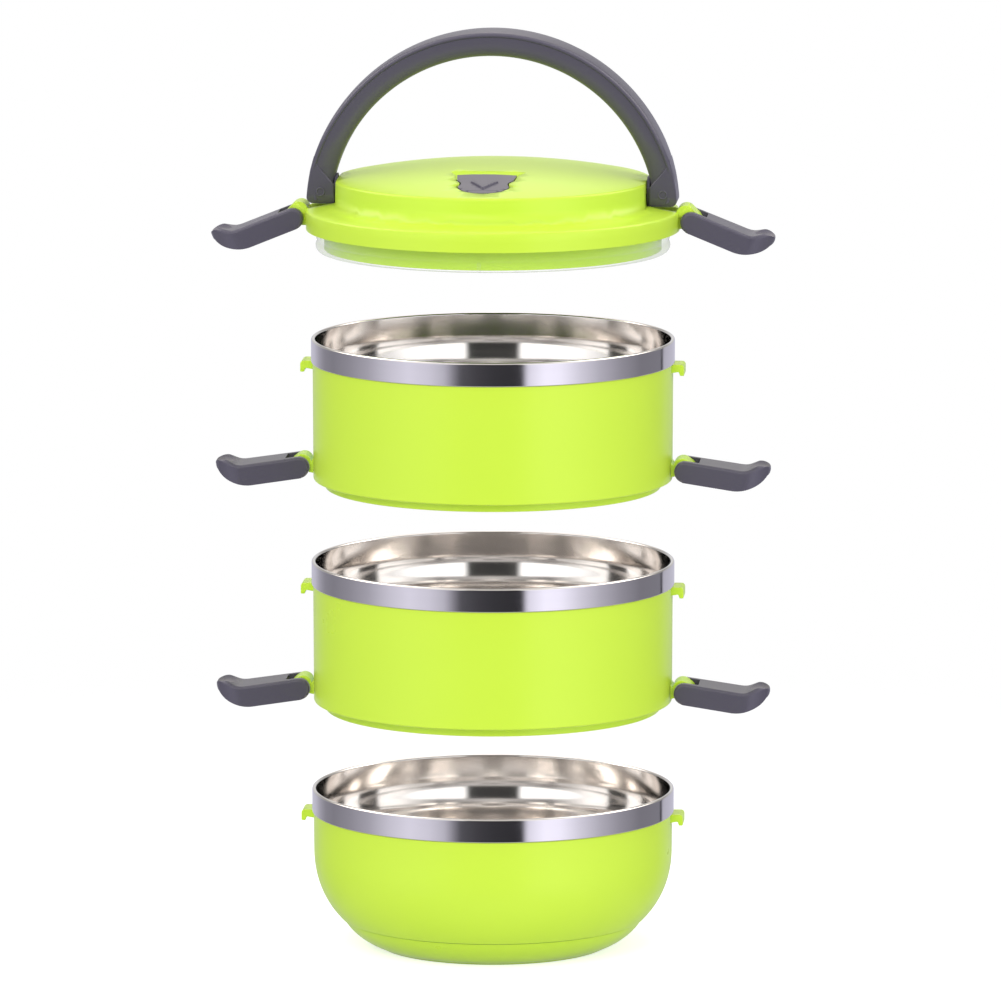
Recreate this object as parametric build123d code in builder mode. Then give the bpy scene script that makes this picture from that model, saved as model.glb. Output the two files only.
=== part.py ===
"""Stacked tiffin carrier: a rounded bowl, two straight tiers and a domed lid with a carrying handle.

Each food vessel is a polished steel liner hung by its rolled rim in a plastic shell. The lid and both
tiers carry two hinged levers that swing down and hook under the lugs of the vessel below. The pieces
are laid out lifted apart along Z, levers open; sliding them down by the three lifts closes the stack.
Millimetres, +Z up, origin at the centre of the bowl's foot.
"""

import os
from math import cos, radians, sin, sqrt

from build123d import *

# ---- steel rim and the mouth below it (shared by the bowl and both tiers) ----
RIM_R = 70.0
MOUTH_R = 68.4
HEM_H = 9.1  # height of the rolled steel band
LEDGE_DEPTH = 8.55  # the seal's seat inside the mouth
STEEL_T = 0.6
LINER_R = 66.9  # inside radius below the ledge
BOWL_DEPTH = 51.0
BOWL_CORNER_R = 26.0
TIER_DEPTH = 47.6
TIER_CORNER_R = 16.0

# ---- plastic shells ----
SHELL_TOP_R = 69.4
SHELL_FOOT_R = 69.2
SHELL_T = 1.65
FOOT_RING_R = 64.8
FOOT_RING_H = 3.2
BASE_T = 1.6
TURN_IN = 3.0  # how far a tier shell turns in under the tier
BELLY_H = 37.0  # where the bowl's side starts to round in
JOINT_R = 58.8  # joint line of the bowl's cap
JOINT_H = 10.9

# ---- heights and the gaps of the lifted-apart stack ----
BOWL_H = 61.5
TIER_H = 54.7  # seat to rim top
BOWL_LIFT = 34.3
TIER_LIFT = 31.9
LID_LIFT = 42.3

# ---- lid ----
FLANGE_R = 72.1
FLANGE_H = 7.8
WALL_BASE = 9.9
CAP_R = 61.2
SHOULDER_H = 19.2
DOME_RISE = 6.5
LID_T = 2.2
FLAT_X = 59.3  # flats on the cap beside the handle's feet
SEAL_R = 68.1
SEAL_DEPTH = 8.3
SEAL_FIT = 0.05  # play between the seal and the plug it is stretched over
PLUG_DEPTH = 7.6
PIVOT_BOSS_R = 4.0
RUNNING_FIT = 0.02  # play of a fixed pin in its bore

# ---- latch lever, in its own frame: u runs along the lever, v towards its outer face ----
LEVER_TOP = 3.8
LEVER_UNDER = -4.4
LEVER_W = 19.5
LEVER_BEND_U = 18.5  # where the spooned tip starts
LEVER_TIP_U = 32.0
LEVER_ROUND = 1.3
SPOON_R = 14.0
BACK_HALF = 7.0  # half width of the hollow in the lever's back
KNUCKLE_R = 3.5
SLOT_W = 11.6
BRACKET_W = 11.2
PIN_R = 1.0
PIN_PLAY = 0.05
PIN_END_PLAY = 0.3
CHEEK_SKIN = 1.2  # plastic left over the ends of the blind bores
LID_PIN_X = 76.9
LID_PIN_H = 4.0
TIER_PIN_X = 74.8
TIER_PIN_H = 4.5
LID_OPEN = 22.0  # degrees below level
TIER_OPEN = 8.5

# ---- lugs under the steel rim ----
LUG_W = 12.0
LUG_REACH = 74.0
LUG_T = 2.8
LIP_DROP = 4.3

# ---- handle ----
ARCH_OUT_R = 72.5
ARCH_OUT_Z = 4.2
ARCH_IN_R = 62.5
ARCH_IN_Z = 4.6
FOOT_IN_X = 60.6
FOOT_BOTTOM = 9.8
PIVOT_H = 14.5
BEAD_T = 1.5  # radial thickness of the bead round the outer edge
BEAD_STEP = 0.4
BEAD_ROUND = 1.3
FOOT_CORNER_R = 2.6  # clears the latch brackets as the handle swings
GRIP_ROUND = 5.0
FOOT_HALF = 8.0
GRIP_HALF = 10.0
HANDLE_PIN_R = 2.0

# ---- steam vent on the lid ----
FLAP_FAR_Y = -28.5
FLAP_NEAR_Y = -54.5
FLAP_HINGE_Y = -50.2
FLAP_T = 2.4
POCKET_DEPTH = 5.6
POCKET_GAP = 0.6
VENT_Y = -41.0
FLAP_PIN_R = 0.8
BARREL_R = 2.2
BARREL_HALF = 5.6
FLAP_PIN_HALF = 9.4
FLAP_TIP_T = 1.4
SCOOP_FAR_Y = -21.4
STEAM_R = 3.0
CHEVRON_W = 1.1
REACH = 40.0  # tall enough to pass through the lid

BOWL_RIM = BOWL_H
LOWER_SEAT = BOWL_RIM + BOWL_LIFT
LOWER_RIM = LOWER_SEAT + TIER_H
UPPER_SEAT = LOWER_RIM + TIER_LIFT
UPPER_RIM = UPPER_SEAT + TIER_H
LID_SEAT = UPPER_RIM + LID_LIFT
DOME_TOP = SHOULDER_H + DOME_RISE
DOME_R = (CAP_R**2 + DOME_RISE**2) / (2 * DOME_RISE)


def section_plane(height):
    """The XZ plane lifted to a height: local x is the radius, local y the height above it."""
    return Plane(origin=(0, 0, height), x_dir=(1, 0, 0), z_dir=(0, -1, 0))


def dome_height(radius, depth=0.0):
    """Height above the lid's seat, at a radius, of the dome or of the sphere a depth inside it."""
    return DOME_TOP - DOME_R + sqrt((DOME_R - depth) ** 2 - radius**2)


def write(piece, name):
    """Label a finished piece and write its STEP file."""
    piece.part.label = name
    export_step(piece.part, f"parts/{name}.step")


def lever_planes(side, pin_x, pin_z, below_level):
    """Two planes at a lever's pin: its side view (u, v) and its top view (u, across)."""
    fall = radians(below_level)
    pin = (side * pin_x, 0, pin_z)
    along = (side * cos(fall), 0, -sin(fall))
    outward = (side * sin(fall), 0, cos(fall))
    return Plane(origin=pin, x_dir=along, z_dir=(0, -side, 0)), Plane(origin=pin, x_dir=along, z_dir=outward)


def make_lever(name, side, pin_x, pin_z, below_level):
    """A latch lever: two cheeks round the bracket, a hollow back with a hooking bar, a spooned tip."""
    view, plan = lever_planes(side, pin_x, pin_z, below_level)
    with BuildPart() as lever:
        with BuildSketch(view):
            with BuildLine():
                Line((0, LEVER_TOP), (LEVER_BEND_U, LEVER_TOP))
                Spline((LEVER_BEND_U, LEVER_TOP), (23.5, 4.3), (28.0, 6.9), (30.6, 6.9), tangents=((1, 0), (1, -0.3)))
                ThreePointArc((30.6, 6.9), (LEVER_TIP_U, 5.2), (31.2, 2.8))
                Spline((31.2, 2.8), (26.0, -2.3), (19.0, LEVER_UNDER), tangents=((-0.5, -1), (-1, -0.05)))
                Line((19.0, LEVER_UNDER), (-0.8, LEVER_UNDER))
                ThreePointArc((-0.8, LEVER_UNDER), (-3.6, -2.6), (-4.3, 0))
                ThreePointArc((-4.3, 0), (-3.0, 2.75), (0, LEVER_TOP))
            make_face()
        extrude(amount=LEVER_W, both=True)
        with BuildSketch(plan):
            with BuildLine():
                Polyline((22.0, -LEVER_W / 2), (-6.0, 0.8 - LEVER_W / 2), (-6.0, LEVER_W / 2 - 0.8),
                         (22.0, LEVER_W / 2))
                ThreePointArc((22.0, LEVER_W / 2), (LEVER_TIP_U + 0.1, 0), (22.0, -LEVER_W / 2))
            make_face()
        extrude(amount=LEVER_W, both=True, mode=Mode.INTERSECT)
        upper = lever.edges().filter_by(lambda e: plan.to_local_coords(e @ 0.5).Z > 0.5)
        fillet(upper.filter_by(lambda e: abs((e @ 0.5).Y) > 3.0), LEVER_ROUND)
        with Locations(plan.from_local_coords(Vector(25.0, 0, SPOON_R + 4.4))):
            Sphere(SPOON_R, mode=Mode.SUBTRACT)
        with BuildSketch(view):
            with Locations((-1.4, 0)):
                Rectangle(12.0, 20.0)
        extrude(amount=SLOT_W / 2, both=True, mode=Mode.SUBTRACT)
        with BuildSketch(view):
            with Locations((17.0, -4.6)):
                Rectangle(16.0, 12.0)
        extrude(amount=BACK_HALF, both=True, mode=Mode.SUBTRACT)
        with BuildSketch(view):
            with Locations((19.35, -3.0)):
                Rectangle(1.9, 2.6)
        extrude(amount=BACK_HALF + 0.2, both=True)
        with BuildSketch(view):
            Circle(PIN_R + PIN_PLAY)
        extrude(amount=LEVER_W / 2 - CHEEK_SKIN, both=True, mode=Mode.SUBTRACT)
    write(lever, name)


def make_lever_pin(name, side, pin_x, pin_z):
    """The steel pin a lever turns on, hidden at both ends in the lever's blind bores."""
    with BuildPart() as pin:
        with BuildSketch(lever_planes(side, pin_x, pin_z, 0)[0]):
            Circle(PIN_R)
        extrude(amount=LEVER_W / 2 - CHEEK_SKIN - PIN_END_PLAY, both=True)
        chamfer(pin.edges(), 0.25)
    write(pin, name)


def brackets(pin_x, pin_z, wall_x, crown, web_top):
    """The two bored knuckles that carry the lever pins, one on each side."""
    with BuildPart() as knuckles:
        for side in (1, -1):
            view = lever_planes(side, pin_x, pin_z, 0)[0]
            with BuildSketch(view):
                Circle(KNUCKLE_R)
                with Locations(crown):
                    Circle(KNUCKLE_R)
                make_hull()
                with BuildLine():
                    Polyline((wall_x - pin_x, -2.8), (0, -2.8), (0, web_top), (wall_x - pin_x, web_top),
                             close=True)
                make_face()
            extrude(amount=BRACKET_W / 2, both=True)
            with BuildSketch(view):
                Circle(PIN_R + RUNNING_FIT)
            extrude(amount=LEVER_W, both=True, mode=Mode.SUBTRACT)
    return knuckles.part


def lugs(rim_z):
    """The two catches under a steel rim that the levers above hook under."""
    top = rim_z - HEM_H
    root = SHELL_TOP_R - 0.9
    with BuildPart() as catches:
        for side in (1, -1):
            with BuildSketch(section_plane(top)):
                with BuildLine():
                    Polyline(
                        (side * root, 0),
                        (side * (LUG_REACH - 1.2), 0),
                        (side * LUG_REACH, -1.2),
                        (side * LUG_REACH, -LIP_DROP),
                        (side * (LUG_REACH - 1.5), -LIP_DROP),
                        (side * (LUG_REACH - 2.0), -LUG_T),
                        (side * root, -LUG_T - 0.6),
                        close=True,
                    )
                make_face()
            extrude(amount=LUG_W / 2, both=True)
    return catches.part


def make_liner(name, rim_z, depth, corner_r):
    """A steel food vessel: rolled band outside the mouth, a seal ledge, a wall and a dished floor."""
    outer = LINER_R + STEEL_T
    under = -depth - STEEL_T
    with BuildPart() as liner:
        with BuildSketch(section_plane(rim_z)):
            with BuildLine():
                Polyline((0, -depth), (LINER_R - corner_r, -depth))
                RadiusArc((LINER_R - corner_r, -depth), (LINER_R, corner_r - depth), -corner_r)
                Polyline((LINER_R, corner_r - depth), (LINER_R, -LEDGE_DEPTH), (MOUTH_R, -LEDGE_DEPTH),
                         (MOUTH_R, 0), (RIM_R, 0), (RIM_R, -HEM_H), (outer, -HEM_H), (outer, corner_r - depth))
                RadiusArc((outer, corner_r - depth), (LINER_R - corner_r, under), corner_r + STEEL_T)
                Polyline((LINER_R - corner_r, under), (0, under), (0, -depth))
            make_face()
        revolve(axis=Axis.Z)
        fillet(liner.edges().group_by(Axis.Z)[-1], 0.65)
    write(liner, name)


def make_tier(prefix, seat):
    """One straight food tier: shell with brackets and lugs, liner, and a base with its foot ring."""
    top = TIER_H - HEM_H
    with BuildPart() as shell:
        with BuildSketch(section_plane(seat)):
            with BuildLine():
                Polyline(
                    (FOOT_RING_R - TURN_IN, 0),
                    (SHELL_FOOT_R - 0.5, 0),
                    (SHELL_FOOT_R, 0.5),
                    (SHELL_TOP_R, top),
                    (SHELL_TOP_R - SHELL_T, top),
                    (SHELL_FOOT_R - SHELL_T, 3.0),
                    (SHELL_FOOT_R - SHELL_T - 1.4, BASE_T),
                    (FOOT_RING_R - TURN_IN, BASE_T),
                    close=True,
                )
            make_face()
        revolve(axis=Axis.Z)
        add(brackets(TIER_PIN_X, seat + TIER_PIN_H, SHELL_FOOT_R - 0.9, (-1.5, 1.1), 3.6))
        add(lugs(seat + TIER_H))
    write(shell, f"{prefix}_shell")

    make_liner(f"{prefix}_liner", seat + TIER_H, TIER_DEPTH, TIER_CORNER_R)

    with BuildPart() as base:
        with BuildSketch(section_plane(seat)):
            with BuildLine():
                Polyline(
                    (0, 0),
                    (FOOT_RING_R, 0),
                    (FOOT_RING_R, 0.6 - FOOT_RING_H),
                    (FOOT_RING_R - 0.6, -FOOT_RING_H),
                    (FOOT_RING_R - 2.2, -FOOT_RING_H),
                    (FOOT_RING_R - 2.4, -BASE_T),
                    (0, -BASE_T),
                    close=True,
                )
            make_face()
        revolve(axis=Axis.Z)
    write(base, f"{prefix}_base")

    for side, hand in ((-1, "left"), (1, "right")):
        make_lever(f"{prefix}_latch_{hand}", side, TIER_PIN_X, seat + TIER_PIN_H, TIER_OPEN)
        make_lever_pin(f"{prefix}_latch_pin_{hand}", side, TIER_PIN_X, seat + TIER_PIN_H)


def make_bowl():
    """The bottom vessel: a round-bottomed shell with lugs, its liner, and a cap that is the foot."""
    top = BOWL_H - HEM_H
    with BuildPart() as shell:
        with BuildSketch(section_plane(0)):
            with BuildLine():
                Polyline((SHELL_TOP_R - SHELL_T, top), (SHELL_TOP_R, top), (69.3, BELLY_H))
                Spline((69.3, BELLY_H), (66.6, 23.0), (JOINT_R, JOINT_H), tangents=((-0.01, -1), (-1, -0.95)))
                Polyline((JOINT_R, JOINT_H), (55.2, JOINT_H), (55.2, 9.7), (47.5, 7.6), (0, 7.6), (0, 9.2),
                         (48.0, 9.2))
                Spline((48.0, 9.2), (64.3, 22.4), (67.6, BELLY_H), tangents=((1, 0.15), (0.01, 1)))
                Line((67.6, BELLY_H), (SHELL_TOP_R - SHELL_T, top))
            make_face()
        revolve(axis=Axis.Z)
        add(lugs(BOWL_H))
    write(shell, "bowl_shell")

    make_liner("bowl_liner", BOWL_H, BOWL_DEPTH, BOWL_CORNER_R)

    with BuildPart() as base:
        with BuildSketch(section_plane(0)):
            with BuildLine():
                Spline((57.9, 10.6), (53.6, 4.9), (45.4, 0.6), tangents=((-0.45, -1), (-1, -0.3)))
                Polyline((45.4, 0.6), (44.6, 0), (41.8, 0), (41.2, 1.4), (0, 1.4), (0, 3.0), (44.5, 3.0))
                Spline((44.5, 3.0), (51.8, 5.8), (55.7, 9.2), tangents=((1, 0.2), (0.6, 1)))
                Polyline((55.7, 9.2), (55.7, 10.6), (57.9, 10.6))
            make_face()
        revolve(axis=Axis.Z)
    write(base, "bowl_base")


def flap_outline(grow):
    """Plan outline of the vent flap: a shield, wide at its lifting end and round at its hinge end."""
    far = FLAP_FAR_Y + grow
    near = FLAP_NEAR_Y - grow
    with BuildSketch(Plane.XY.offset(LID_SEAT)) as outline:
        with BuildLine():
            ThreePointArc((-11.4 - grow, far), (0, far + 0.8), (11.4 + grow, far))
            Line((11.4 + grow, far), (10.6 + grow, -37.5))
            ThreePointArc((10.6 + grow, -37.5), (8.9 + grow, -41.5), (9.8 + grow, -45.5))
            ThreePointArc((9.8 + grow, -45.5), (6.6 + grow, -52.0), (0, near))
            ThreePointArc((0, near), (-6.6 - grow, -52.0), (-9.8 - grow, -45.5))
            ThreePointArc((-9.8 - grow, -45.5), (-8.9 - grow, -41.5), (-10.6 - grow, -37.5))
            Line((-10.6 - grow, -37.5), (-11.4 - grow, far))
        make_face()
    return outline.sketch


def scoop_outline(grow):
    """Plan outline of the finger scoop behind the flap's lifting end, flared away from the flap."""
    near_y = FLAP_FAR_Y - POCKET_GAP - grow
    with BuildSketch(Plane.XY.offset(LID_SEAT)) as outline:
        with BuildLine():
            Polyline((-14.8 - grow, SCOOP_FAR_Y + grow), (14.8 + grow, SCOOP_FAR_Y + grow),
                     (11.9 + grow, near_y), (-11.9 - grow, near_y), close=True)
        make_face()
    return outline.sketch


def make_lid_shell():
    """The lid's outer moulding: dome, cap wall, flange, vent pocket, handle flats and latch brackets."""
    dome_centre = (0, 0, LID_SEAT + DOME_TOP - DOME_R)
    hinge = (0, FLAP_HINGE_Y, LID_SEAT + dome_height(FLAP_HINGE_Y) - BARREL_R)
    with BuildPart() as pan:
        extrude(flap_outline(2.0), amount=REACH)
        extrude(scoop_outline(1.5), amount=REACH)
        with Locations(dome_centre):
            Sphere(DOME_R - 1.0, mode=Mode.INTERSECT)
            Sphere(DOME_R - POCKET_DEPTH - 1.6, mode=Mode.SUBTRACT)
    with BuildPart() as pocket:
        extrude(flap_outline(POCKET_GAP), amount=REACH)
        with Locations(dome_centre):
            Sphere(DOME_R - POCKET_DEPTH, mode=Mode.SUBTRACT)
    with BuildPart() as scoop:
        extrude(scoop_outline(0), amount=REACH)
        with Locations((0, -27.4, LID_SEAT + dome_height(27.4) + 4.7)):
            Cylinder(7.0, REACH, rotation=(0, 90, 0), mode=Mode.INTERSECT)

    wall_in = CAP_R - LID_T
    ceiling = (wall_in, dome_height(wall_in, LID_T))
    with BuildPart() as lid:
        with BuildSketch(section_plane(LID_SEAT)):
            with BuildLine():
                RadiusArc((0, DOME_TOP), (CAP_R, SHOULDER_H), DOME_R)
                Polyline((CAP_R, SHOULDER_H), (CAP_R + 0.4, WALL_BASE), (FLANGE_R - 0.9, FLANGE_H),
                         (FLANGE_R, FLANGE_H - 1.0), (FLANGE_R - 0.3, 0), (69.6, 0), (69.4, 5.0),
                         (wall_in, 7.2), ceiling)
                RadiusArc(ceiling, (0, DOME_TOP - LID_T), LID_T - DOME_R)
                Line((0, DOME_TOP - LID_T), (0, DOME_TOP))
            make_face()
        revolve(axis=Axis.Z)
        shoulder_z = LID_SEAT + SHOULDER_H
        fillet(lid.edges().filter_by_position(Axis.Z, shoulder_z - 0.01, shoulder_z + 0.01), 1.2)
        add(pan.part)
        add(pocket.part, mode=Mode.SUBTRACT)
        add(scoop.part, mode=Mode.SUBTRACT)
        with Locations(hinge):
            Cylinder(FLAP_PIN_R + RUNNING_FIT, 2 * FLAP_PIN_HALF + 0.2, rotation=(0, 90, 0), mode=Mode.SUBTRACT)
        with Locations((0, VENT_Y, LID_SEAT + 16.0)):
            Cylinder(STEAM_R, 12.0, mode=Mode.SUBTRACT)
        for side in (1, -1):
            with Locations((side * (CAP_R - LID_T - 1.5), 0, LID_SEAT + PIVOT_H)):
                Cylinder(PIVOT_BOSS_R, 4.0, rotation=(0, 90, 0))
            with Locations((side * (FLAT_X + 10.0), 0, LID_SEAT + PIVOT_H + 10.0)):
                Box(20.0, 40.0, 29.0, mode=Mode.SUBTRACT)
            with Locations((side * (FLAT_X + 10.0), 0, LID_SEAT + PIVOT_H)):
                Cylinder(FOOT_HALF + 0.6, 20.0, rotation=(0, 90, 0), mode=Mode.SUBTRACT)
                Cylinder(HANDLE_PIN_R + RUNNING_FIT, 36.0, rotation=(0, 90, 0), mode=Mode.SUBTRACT)
        add(brackets(LID_PIN_X, LID_SEAT + LID_PIN_H, FLANGE_R - 1.3, (-2.6, 2.7), 3.0))
    write(lid, "lid_shell")


def make_lid_inner():
    """The lid's underside: a plate with a plug wall, a seat for the seal and a tube for the vent."""
    wall_in = FOOT_RING_R - 2.2
    with BuildPart() as inner:
        with BuildSketch(section_plane(LID_SEAT)):
            with BuildLine():
                Polyline((0, -2.0), (wall_in - 0.6, -2.0), (wall_in, -2.6), (wall_in, -PLUG_DEPTH),
                         (FOOT_RING_R, -PLUG_DEPTH), (FOOT_RING_R, 0), (69.4, 0), (69.2, 2.0),
                         (wall_in, 2.0), (wall_in - 1.6, -0.4), (0, -0.4), close=True)
            make_face()
        revolve(axis=Axis.Z)
        tube_top = LID_SEAT + dome_height(VENT_Y - 5.0) - POCKET_DEPTH - 1.8
        with BuildSketch(Plane.XY.offset(LID_SEAT - 1.0)):
            with Locations((0, VENT_Y)):
                Circle(5.0)
        extrude(amount=tube_top - LID_SEAT + 1.0)
        with Locations((0, VENT_Y, LID_SEAT)):
            Cylinder(STEAM_R, 60.0, mode=Mode.SUBTRACT)
    write(inner, "lid_inner")

    lip_z = -PLUG_DEPTH - SEAL_FIT
    with BuildPart() as seal:
        with BuildSketch(section_plane(LID_SEAT)):
            with BuildLine():
                Polyline((66.2, -0.4), (FOOT_RING_R + SEAL_FIT, -0.4), (FOOT_RING_R + SEAL_FIT, lip_z),
                         (63.2, lip_z), (63.2, -SEAL_DEPTH), (66.4, -SEAL_DEPTH))
                ThreePointArc((66.4, -SEAL_DEPTH), (SEAL_R, -6.4), (67.3, -4.3))
                ThreePointArc((67.3, -4.3), (67.9, -2.3), (66.2, -0.4))
            make_face()
        revolve(axis=Axis.Z)
    write(seal, "lid_seal")


def make_vent():
    """The steam vent: the flap, the pin it turns on and the silicone plug under it."""
    dome_centre = (0, 0, LID_SEAT + DOME_TOP - DOME_R)
    hinge = (0, FLAP_HINGE_Y, LID_SEAT + dome_height(FLAP_HINGE_Y) - BARREL_R)
    with BuildPart() as chevron:
        with BuildSketch(Plane.XY.offset(LID_SEAT)):
            with BuildLine():
                Polyline((-4.75, -40.3), (0, -48.4), (4.75, -40.3))
            trace(line_width=CHEVRON_W)
        extrude(amount=REACH)
        with Locations(dome_centre):
            Sphere(DOME_R + 0.5, mode=Mode.INTERSECT)
            Sphere(DOME_R - 1.0, mode=Mode.SUBTRACT)
    with BuildPart() as relief:
        with Locations((0, FLAP_HINGE_Y - BARREL_R - 10.0, LID_SEAT + 20.0)):
            Box(REACH, 20.0, REACH)
        with Locations(dome_centre):
            Sphere(DOME_R - FLAP_TIP_T, mode=Mode.INTERSECT)
    with BuildPart() as flap:
        extrude(flap_outline(0), amount=REACH)
        with Locations(dome_centre):
            Sphere(DOME_R, mode=Mode.INTERSECT)
            Sphere(DOME_R - FLAP_T, mode=Mode.SUBTRACT)
        add(relief.part, mode=Mode.SUBTRACT)
        add(chevron.part)
        with Locations(hinge):
            Cylinder(BARREL_R, 2 * BARREL_HALF, rotation=(0, 90, 0))
            Cylinder(FLAP_PIN_R + PIN_PLAY, 30.0, rotation=(0, 90, 0), mode=Mode.SUBTRACT)
    write(flap, "vent_flap")

    with BuildPart() as pin:
        with Locations(hinge):
            Cylinder(FLAP_PIN_R, 2 * FLAP_PIN_HALF, rotation=(0, 90, 0))
    write(pin, "vent_flap_pin")

    with BuildPart() as plug:
        with Locations((0, VENT_Y, LID_SEAT + 20.0)):
            Cylinder(4.5, 30.0)
        with Locations(dome_centre):
            Sphere(DOME_R - FLAP_T, mode=Mode.INTERSECT)
            Sphere(DOME_R - POCKET_DEPTH + 0.25, mode=Mode.SUBTRACT)
        with Locations((0, VENT_Y, LID_SEAT + dome_height(VENT_Y) - POCKET_DEPTH + 0.4)):
            Cylinder(2.2, 3.0)
    write(plug, "vent_plug")


def arch_solid(shave, half_width):
    """The handle's arch as a flat plate in the XZ plane, its outer edge pared back by a margin."""
    out_r = ARCH_OUT_R - shave
    foot_out_x = sqrt(out_r**2 - (FOOT_BOTTOM - ARCH_OUT_Z) ** 2)
    bend_z = ARCH_IN_Z + sqrt(ARCH_IN_R**2 - FOOT_IN_X**2)
    with BuildPart() as arch:
        with BuildSketch(section_plane(LID_SEAT)) as plate:
            with BuildLine():
                ThreePointArc((-foot_out_x, FOOT_BOTTOM), (0, ARCH_OUT_Z + out_r), (foot_out_x, FOOT_BOTTOM))
                Polyline((foot_out_x, FOOT_BOTTOM), (FOOT_IN_X, FOOT_BOTTOM), (FOOT_IN_X, bend_z))
                ThreePointArc((FOOT_IN_X, bend_z), (0, ARCH_IN_Z + ARCH_IN_R), (-FOOT_IN_X, bend_z))
                Polyline((-FOOT_IN_X, bend_z), (-FOOT_IN_X, FOOT_BOTTOM), (-foot_out_x, FOOT_BOTTOM))
            make_face()
            soles = plate.vertices().group_by(Axis.Y)[0].sort_by(Axis.X)
            fillet([soles[0], soles[-1]], FOOT_CORNER_R - shave)
        extrude(amount=half_width, both=True)
    return arch.part


def arcs_of(arch, radius):
    """The edges of an arch that are circles of a given radius."""
    round_edges = arch.edges().filter_by(GeomType.CIRCLE)
    return round_edges.filter_by(lambda edge: abs(edge.radius - radius) < 0.1)


def make_handle():
    """The arched carrying handle: rounded grip, a bead round its outer edge, flat feet bored for pins."""
    with BuildPart() as grip:
        add(arch_solid(BEAD_T, GRIP_HALF - BEAD_STEP))
        fillet(arcs_of(grip, ARCH_IN_R), GRIP_ROUND)
    with BuildPart() as feet:
        add(arch_solid(BEAD_T, GRIP_HALF - BEAD_STEP))
        for side in (1, -1):
            with BuildSketch(section_plane(LID_SEAT)):
                with BuildLine():
                    Polyline((0, 0), (side * 100.0, 0), (side * 100.0, 62.6), (side * 56.0, 15.1), (0, 15.1),
                             close=True)
                make_face()
        extrude(amount=GRIP_HALF, both=True, mode=Mode.INTERSECT)
    with BuildPart() as profile:
        with BuildSketch(Plane.YZ):
            with BuildLine():
                for half in (1, -1):
                    Polyline((0, 400.0), (half * GRIP_HALF, 400.0), (half * GRIP_HALF, LID_SEAT + 36.0),
                             (half * FOOT_HALF, LID_SEAT + 21.0), (half * FOOT_HALF, LID_SEAT + FOOT_BOTTOM),
                             (0, LID_SEAT + FOOT_BOTTOM))
            make_face()
        extrude(amount=100.0, both=True)
    with BuildPart() as rounding:
        with Locations((0, 0, LID_SEAT + PIVOT_H)):
            Cylinder(FOOT_HALF, 200.0, rotation=(0, 90, 0))
        with Locations((0, 0, LID_SEAT + PIVOT_H + 50.0)):
            Box(200.0, 4 * FOOT_HALF, 100.0)
    with BuildPart() as bead:
        add(arch_solid(0, GRIP_HALF))
        fillet(arcs_of(bead, ARCH_OUT_R), BEAD_ROUND)
        add(arch_solid(BEAD_T, 2 * GRIP_HALF), mode=Mode.SUBTRACT)
    with BuildPart() as handle:
        add(grip.part)
        add(feet.part)
        add(bead.part)
        add(profile.part, mode=Mode.INTERSECT)
        add(rounding.part, mode=Mode.INTERSECT)
        for side in (1, -1):
            with Locations((side * 62.8, 0, LID_SEAT + PIVOT_H)):
                Cylinder(HANDLE_PIN_R + PIN_PLAY, 9.0, rotation=(0, 90, 0), mode=Mode.SUBTRACT)
    write(handle, "handle")


def make_handle_pins():
    """The two steel pins that the handle's feet turn on, held in the cap's wall."""
    for side, hand in ((-1, "left"), (1, "right")):
        with BuildPart() as pin:
            with Locations((side * 61.5, 0, LID_SEAT + PIVOT_H)):
                Cylinder(HANDLE_PIN_R, 11.0, rotation=(0, 90, 0))
            chamfer(pin.edges(), 0.3)
        write(pin, f"handle_pin_{hand}")


if __name__ == "__main__":
    os.makedirs("parts", exist_ok=True)
    make_bowl()
    make_tier("lower", LOWER_SEAT)
    make_tier("upper", UPPER_SEAT)
    make_lid_shell()
    make_lid_inner()
    make_vent()
    make_handle()
    make_handle_pins()
    for side, hand in ((-1, "left"), (1, "right")):
        make_lever(f"lid_latch_{hand}", side, LID_PIN_X, LID_SEAT + LID_PIN_H, LID_OPEN)
        make_lever_pin(f"lid_latch_pin_{hand}", side, LID_PIN_X, LID_SEAT + LID_PIN_H)
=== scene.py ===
"""Stacked tiffin carrier: the finished look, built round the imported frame.

Lengths in this file are millimetres and become metres as each mesh is made. The stack stands on its foot
at the origin, +Z up, with the steam vent towards -Y and the levers along X.
"""

import logging
import math
from dataclasses import dataclass
from enum import Enum
from typing import Sequence

import bmesh
import bpy
from mathutils import Matrix, Vector


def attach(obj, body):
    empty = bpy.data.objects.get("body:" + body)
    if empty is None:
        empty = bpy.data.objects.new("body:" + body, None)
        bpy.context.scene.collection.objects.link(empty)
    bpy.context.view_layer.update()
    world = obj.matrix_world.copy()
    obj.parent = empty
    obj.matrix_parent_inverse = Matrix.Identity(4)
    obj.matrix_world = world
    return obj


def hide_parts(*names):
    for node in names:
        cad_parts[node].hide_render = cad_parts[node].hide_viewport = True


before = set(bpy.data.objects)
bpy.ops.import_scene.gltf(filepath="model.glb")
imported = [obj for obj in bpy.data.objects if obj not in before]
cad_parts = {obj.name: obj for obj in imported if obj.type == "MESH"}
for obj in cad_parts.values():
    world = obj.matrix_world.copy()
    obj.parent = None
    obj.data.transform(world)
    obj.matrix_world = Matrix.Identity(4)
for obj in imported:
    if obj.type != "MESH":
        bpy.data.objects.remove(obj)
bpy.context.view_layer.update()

LOG = logging.getLogger("tiffin")

MM = 0.001
RING_STEPS = 192
SHARP_ANGLE = math.radians(34.0)
FLAT_ANGLE = math.radians(0.6)
WELD = 1e-6

LOWER_SEAT = 95.8
UPPER_SEAT = 182.4
LID_SEAT = 279.4

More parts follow.
